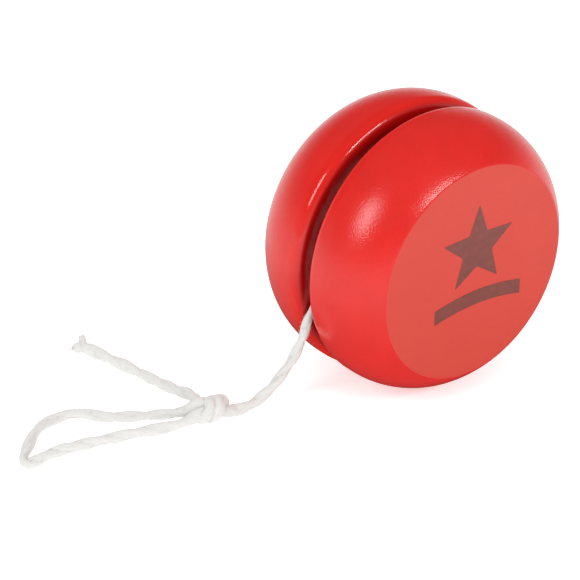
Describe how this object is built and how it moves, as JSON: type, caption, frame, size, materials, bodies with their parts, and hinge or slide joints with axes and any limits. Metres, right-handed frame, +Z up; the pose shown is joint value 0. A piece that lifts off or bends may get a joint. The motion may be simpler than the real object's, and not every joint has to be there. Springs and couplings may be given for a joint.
{
  "type": "yo-yo",
  "caption": "Turned wooden yo-yo in glossy red paint, standing on its rims, with white cotton string wound in its slot and a knotted finger loop lying beside it.",
  "frame": {"origin": "on the surface that the yo-yo stands on, right below the middle of the axle", "axes": "+Z up, +Y along the axle towards the rear half, so the printed face looks along -Y; the loose string lies on the -X side"},
  "size_m": [0.1072, 0.0606, 0.055],
  "materials": {
    "red_paint": "glossy red paint over turned wood",
    "bare_wood": "bare beech dowel",
    "cotton": "soft twisted cotton string, unbleached white",
    "print_ink": "dark maroon pad-printed ink"
  },
  "bodies": {
    "string": {"axle_eye": "cotton", "string_winding": "cotton", "string_lead": "cotton", "string_knot": "cotton", "finger_loop": "cotton", "string_tail": "cotton"},
    "yo_yo_body": {"front_half": "red_paint", "rear_half": "red_paint", "axle": "bare_wood"}
  },
  "joints": [
    {"name": "body_spin", "type": "hinge", "parent": "string", "child": "yo_yo_body", "pos_m": [0, 0, 0.0275], "axis": [0, 1, 0], "continuous": true}
  ]
}
